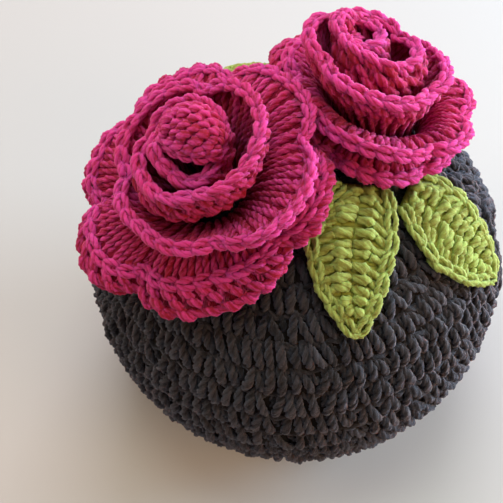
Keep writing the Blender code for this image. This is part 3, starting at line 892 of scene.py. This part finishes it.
def add_leaf_stitches(yarn, shape, rng):
    """Two columns of short fat posts beside the midrib, and slanted strands out to the edge."""
    post_pitch, post_strand, edge_inset = 4.0 * MM, 2.05 * MM, 7.4 * MM
    shortest, longest, last_post = 1.5 * MM, 6.6 * MM, 0.88
    count = round(shape.length / post_pitch)
    share = (np.arange(count) + 0.6) / count
    share = share[share < last_post]
    many = len(share)
    step = np.linspace(0.0, 1.0, 12)
    bow = 1.0 - (2.0 * step - 1.0) ** 2
    for hand in (-1, 1):
        reach = np.clip(shape.half_width(share) - edge_inset, shortest, longest)[:, None]
        reach = reach * uneven(rng, many, 0.09)
        aside = hand * (0.7 * MM + reach * step)
        lift = LEAF_TOP + (bow * 1.2 - 1.0) * MM + scatter(rng, 0.3 * MM, many)
        along = share[:, None] + scatter(rng, 0.008, many) + (0.02 + scatter(rng, 0.015, many)) * step
        path, facing = shape.place(along, aside, lift)
        knob = 1.0 + 0.13 * np.cos(3.0 * np.pi * step + rng.uniform(-0.8, 0.8, (many, 1)))
        thick = post_strand * (0.72 + 0.28 * bow) * knob * uneven(rng, many, 0.07)
        tone = 0.6 + rng.normal(0.0, TONE_SPREAD, many)
        yarn.tubes(path, facing, thick, thick * 0.82, tone=tone)
        outer = shape.half_width(share)[:, None]
        start = 0.4 * MM + reach
        aside = hand * (start + (outer - 2.9 * MM - start) * step)
        along = along + 0.02 + 0.05 * step
        lift = LEAF_TOP - (0.3 + 0.5 * step) * MM + scatter(rng, 0.2 * MM, many)
        path, facing = shape.place(along, aside, lift)
        # The slanted strands, which lie lower, are darker as painted shade.
        tone = 0.4 + rng.normal(0.0, TONE_SPREAD, many)
        yarn.tubes(path, facing, width=1.6 * MM, height=1.4 * MM, tone=tone, plies=2)


# ---- materials

class Nodes:
    """Short words for building a material."""

    def __init__(self, name):
        self.material = bpy.data.materials.new(name)
        self.material.use_nodes = True
        self.tree = self.material.node_tree
        self.shader = self.tree.nodes["Principled BSDF"]

    def feed(self, node, inputs):
        """Links a node's inputs to sockets, or sets them."""
        for key, value in inputs.items():
            if isinstance(value, bpy.types.NodeSocket):
                self.tree.links.new(value, node.inputs[key])
            else:
                node.inputs[key].default_value = value

    def add(self, kind, inputs, output=0, **settings):
        """A new node's output."""
        node = self.tree.nodes.new(kind)
        for key, value in settings.items():
            setattr(node, key, value)
        self.feed(node, inputs)
        return node.outputs[output]

    def maths(self, operation, first, second=0.0):
        return self.add("ShaderNodeMath", {0: first, 1: second}, operation=operation)

    def wave(self, value, scale):
        """Humps from 0 to 1, one for each pi of the scaled value."""
        return self.maths("ABSOLUTE", self.maths("SINE", self.maths("MULTIPLY", value, scale)))

    def noise(self, place, scale, detail, **others):
        return self.add("ShaderNodeTexNoise", {"Vector": place, "Scale": scale, "Detail": detail, **others})

    def uv_parts(self):
        """Places along and across the yarn or cloth."""
        split = self.add("ShaderNodeSeparateXYZ", {0: self.add("ShaderNodeUVMap", {}, uv_map="yarn")})
        return split.node.outputs[0], split.node.outputs[1]

    def mix(self, share, first, second):
        return self.add("ShaderNodeMix", {0: share, 6: first, 7: second}, output=2, data_type="RGBA")


# How much each thing lightens the yarn, and where that starts. The ply wave is painted shade, darkest in the
# grooves between the plies.
PLY_SHADE_SHARE = 0.90
FIBRE_SHARE = 0.80
FUZZ_SHARE = 1.10
TONE_AND_SHADING_SHARE = 0.95
LIGHTENING_START = 1.10
WARM_SHARE = 0.35  # of the warm colour in its patches


def yarn_material(name, dark, light, warm, sheen, halo):
    """Plied wool: painted shade in the grooves between the plies, fine fibres along them and a soft halo."""
    nodes = Nodes(name)
    along, round_it = nodes.uv_parts()
    # Painted shade: the wave is 0 at the grooves between the plies, so the colour is darkest there.
    ply = nodes.maths("POWER", nodes.wave(round_it, math.pi), 0.55)
    streak = nodes.add("ShaderNodeCombineXYZ", {0: nodes.maths("MULTIPLY", round_it, 3.5),
                                               1: nodes.maths("MULTIPLY", along, 260.0)})
    fibres = nodes.noise(streak, scale=1.0, detail=4.0, Roughness=0.7)
    fibres = nodes.add("ShaderNodeMapRange", {0: fibres, 1: 0.32, 2: 0.68})
    place = nodes.add("ShaderNodeTexCoord", {}, output="Object")
    fuzz = nodes.noise(place, scale=950.0, detail=3.0)
    patch = nodes.noise(place, scale=70.0, detail=2.0)
    # The strands' lightness: random tone, plus painted shade and painted highlight.
    tone = nodes.add("ShaderNodeAttribute", {}, output="Fac", attribute_name="tone")
    tone = nodes.maths("SUBTRACT", tone, 0.5)
    amount = nodes.maths("MULTIPLY", ply, PLY_SHADE_SHARE)
    for value, share in ((fibres, FIBRE_SHARE), (fuzz, FUZZ_SHARE), (tone, TONE_AND_SHADING_SHARE)):
        amount = nodes.maths("ADD", amount, nodes.maths("MULTIPLY", value, share))
    amount = nodes.add("ShaderNodeClamp", {0: nodes.maths("SUBTRACT", amount, LIGHTENING_START)})
    colour = nodes.mix(amount, (*dark, 1.0), (*light, 1.0))
    hue = nodes.add("ShaderNodeMapRange", {0: patch, 1: 0.35, 2: 0.65})
    colour = nodes.mix(nodes.maths("MULTIPLY", hue, WARM_SHARE), colour, (*warm, 1.0))
    fine = nodes.maths("ADD", nodes.maths("MULTIPLY", fibres, 0.8), fuzz)
    bump = nodes.add("ShaderNodeBump", {"Height": fine, "Distance": 0.30 * MM, "Strength": 1.0})
    nodes.feed(nodes.shader, {
        "Base Color": colour, "Roughness": 0.92, "Specular IOR Level": 0.25, "Normal": bump,
        "Sheen Weight": sheen, "Sheen Roughness": 0.60, "Sheen Tint": (*halo, 1.0),
        "Subsurface Weight": 0.50, "Subsurface Radius": (1.0, 0.6, 0.5), "Subsurface Scale": 1.4 * MM})
    return nodes.material


def cloth_material(name, dark, light):
    """The cloth behind the stitches, with a relief of the stitches' backs and painted shade between its
    bumps.
    """
    nodes = Nodes(name)
    along, down = nodes.uv_parts()
    waves = nodes.maths("MULTIPLY", nodes.wave(along, 2 * math.pi), nodes.wave(down, math.pi))
    bumps = nodes.maths("POWER", waves, 0.5)
    place = nodes.add("ShaderNodeTexCoord", {}, output="Object")
    fuzz = nodes.noise(place, scale=900.0, detail=3.0)
    # Painted shade: the colour is darkest between the bumps of the relief.
    amount = nodes.maths("MULTIPLY", nodes.maths("ADD", bumps, fuzz), 0.55)
    bump = nodes.add("ShaderNodeBump", {"Height": bumps, "Distance": 0.9 * MM, "Strength": 0.8})
    bump = nodes.add("ShaderNodeBump", {"Height": fuzz, "Distance": 0.15 * MM, "Strength": 0.7,
                                        "Normal": bump})
    nodes.feed(nodes.shader, {
        "Base Color": nodes.mix(amount, (*dark, 1.0), (*light, 1.0)), "Roughness": 0.95,
        "Specular IOR Level": 0.15, "Normal": bump})
    return nodes.material


# ---- stage, lights and camera

def floor():
    size = 4.0
    corners = [(-size, -size, 0), (size, -size, 0), (size, size, 0), (-size, size, 0)]
    mesh = bpy.data.meshes.new("floor")
    mesh.from_pydata(corners, [], [(0, 1, 2, 3)])
    nodes = Nodes("floor")
    nodes.feed(nodes.shader, {"Base Color": (0.61, 0.62, 0.65, 1.0), "Roughness": 0.7})
    mesh.materials.append(nodes.material)
    link_object("floor", mesh)


# Each light's name, place, target, size, power in watts and colour.
LIGHTS = (
    ("window", (0.80, 0.25, 0.22), (0.03, 0.0, 0.08), (0.5, 0.25), 11.2, (0.66, 0.88, 1.0)),
    ("ceiling", (0.0, 0.15, 0.80), (0.0, 0.0, 0.0), (0.5, 0.5), 2.7, (0.92, 1.0, 0.88)),
    ("back", (0.10, 1.20, 0.90), (0.0, 0.10, 0.0), (0.8, 0.5), 8.5, (1.0, 0.90, 1.0)),
    ("left", (-0.70, 0.10, 0.35), (-0.10, 0.0, 0.0), (0.4, 0.3), 1.9, (1.0, 0.80, 0.55)),
    ("front", (0.60, -0.40, 0.40), (0.0, 0.0, 0.05), (0.4, 0.3), 2.2, (1.0, 0.59, 0.28)),
)


def area_light(name, place, target, size, power, colour):
    """A soft rectangular light that faces its target."""
    data = bpy.data.lights.new(name, "AREA")
    data.shape = "RECTANGLE"
    data.size, data.size_y = size
    data.energy = power
    data.color = colour
    light = link_object(name, data)
    light.location = place
    light.rotation_euler = (Vector(target) - Vector(place)).to_track_quat("-Z", "Y").to_euler()


def lights():
    world = bpy.data.worlds.new("studio")
    world.use_nodes = True
    shade = world.node_tree.nodes["Background"]
    shade.inputs["Color"].default_value = (1.0, 0.74, 0.60, 1.0)
    shade.inputs["Strength"].default_value = 0.27
    bpy.context.scene.world = world
    for light in LIGHTS:
        area_light(*light)


CAMERA_ELEVATION = math.radians(57.0)
CAMERA_DISTANCE = 0.400
CAMERA_TARGET = Vector((0.0, 0.0, 0.060))
IMAGE_SIDE = 503
BALL_PIXEL = (296.0, 258.5)  # where the camera's target falls in the picture
FOCAL_PIXELS = 947.0


def camera():
    """The photograph's view: from the front and well above."""
    data = bpy.data.cameras.new("camera")
    data.sensor_fit = "HORIZONTAL"
    data.sensor_width = 36.0
    data.lens = FOCAL_PIXELS / IMAGE_SIDE * data.sensor_width
    data.shift_x = (IMAGE_SIDE / 2 - BALL_PIXEL[0]) / IMAGE_SIDE
    data.shift_y = (BALL_PIXEL[1] - IMAGE_SIDE / 2) / IMAGE_SIDE
    data.clip_start = 0.01
    view = link_object("camera", data)
    back = Vector((0.0, -math.cos(CAMERA_ELEVATION), math.sin(CAMERA_ELEVATION)))
    view.location = CAMERA_TARGET + back * CAMERA_DISTANCE
    view.rotation_euler = back.to_track_quat("Z", "Y").to_euler()
    bpy.context.scene.camera = view


# ---- putting it together

UPPER_ROUNDS = 10  # in the cover's upper two pieces


def dress(pieces):
    """Puts pieces on the one body."""
    for piece in pieces:
        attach(piece, "root")


def add_cover(rng):
    """The cover's cloth, its stitches in four pieces, and the edges of the slits and hem."""
    grey = yarn_material("grey_yarn_wool", dark=(0.005, 0.004, 0.004), light=(0.057, 0.056, 0.072),
                         warm=(0.038, 0.026, 0.020), sheen=0.30, halo=(0.42, 0.52, 0.74))
    # The cloth is much darker than the yarn: painted shade in the gaps between the stitches.
    grey_shade_cloth = cloth_material("grey_shade_cloth_wool", dark=(0.006, 0.005, 0.005), light=(0.022, 0.019, 0.018))
    cloth = cover_cloth(grey_shade_cloth)
    rounds = round((FULL_RUN - 4.0 * MM) / ROUND_HEIGHT)
    cover = [cover_stitches(half, span, grey, rng) for half in ("front", "back")
             for span in (range(0, UPPER_ROUNDS), range(UPPER_ROUNDS, rounds))]
    edges = Yarn(GREY_PLIES)
    for slit in (HANDLE_SLIT, SPOUT_SLIT):
        slit_edge(edges, slit, rng)
    hem_edge(edges, rng)
    cover.append(edges.piece("cover_edges", grey))
    dress((cloth, *cover))
    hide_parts("cosy_body")


def add_roses(rng):
    pink = yarn_material("rose_yarn_wool", dark=(0.31, 0.008, 0.034), light=(0.83, 0.070, 0.42),
                         warm=(0.66, 0.014, 0.075), sheen=0.12, halo=(1.0, 0.35, 0.60))
    # The strip is darker than the yarn: painted shade in the gaps between the posts.
    pink_shade_cloth = cloth_material("rose_shade_cloth_wool", dark=(0.16, 0.004, 0.02), light=(0.34, 0.010, 0.05))
    for rose in (ROSE_LEFT, ROSE_RIGHT):
        cloth, yarn = rose_pieces(rose, pink_shade_cloth, pink, rng)
        dress((cloth, yarn))
        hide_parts(rose.name)


def add_leaves(rng):
    green = yarn_material("leaf_yarn_wool", dark=(0.21, 0.22, 0.035), light=(0.44, 0.60, 0.165),
                          warm=(0.32, 0.32, 0.065), sheen=0.15, halo=(0.90, 1.0, 0.55))
    # The cloth is darker than the yarn: painted shade in the gaps between the stitches.
    green_shade_cloth = cloth_material("leaf_shade_cloth_wool", dark=(0.16, 0.18, 0.03), light=(0.36, 0.41, 0.08))
    for leaf in LEAVES:
        cloth, yarn = leaf_pieces(leaf, green_shade_cloth, green, rng)
        dress((cloth, yarn))
        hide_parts(leaf.name)


def main():
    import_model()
    rng = np.random.default_rng(SEED)
    add_cover(rng)
    add_roses(rng)
    add_leaves(rng)
    floor()
    lights()
    camera()
    bpy.context.scene.view_settings.view_transform = "Standard"


main()
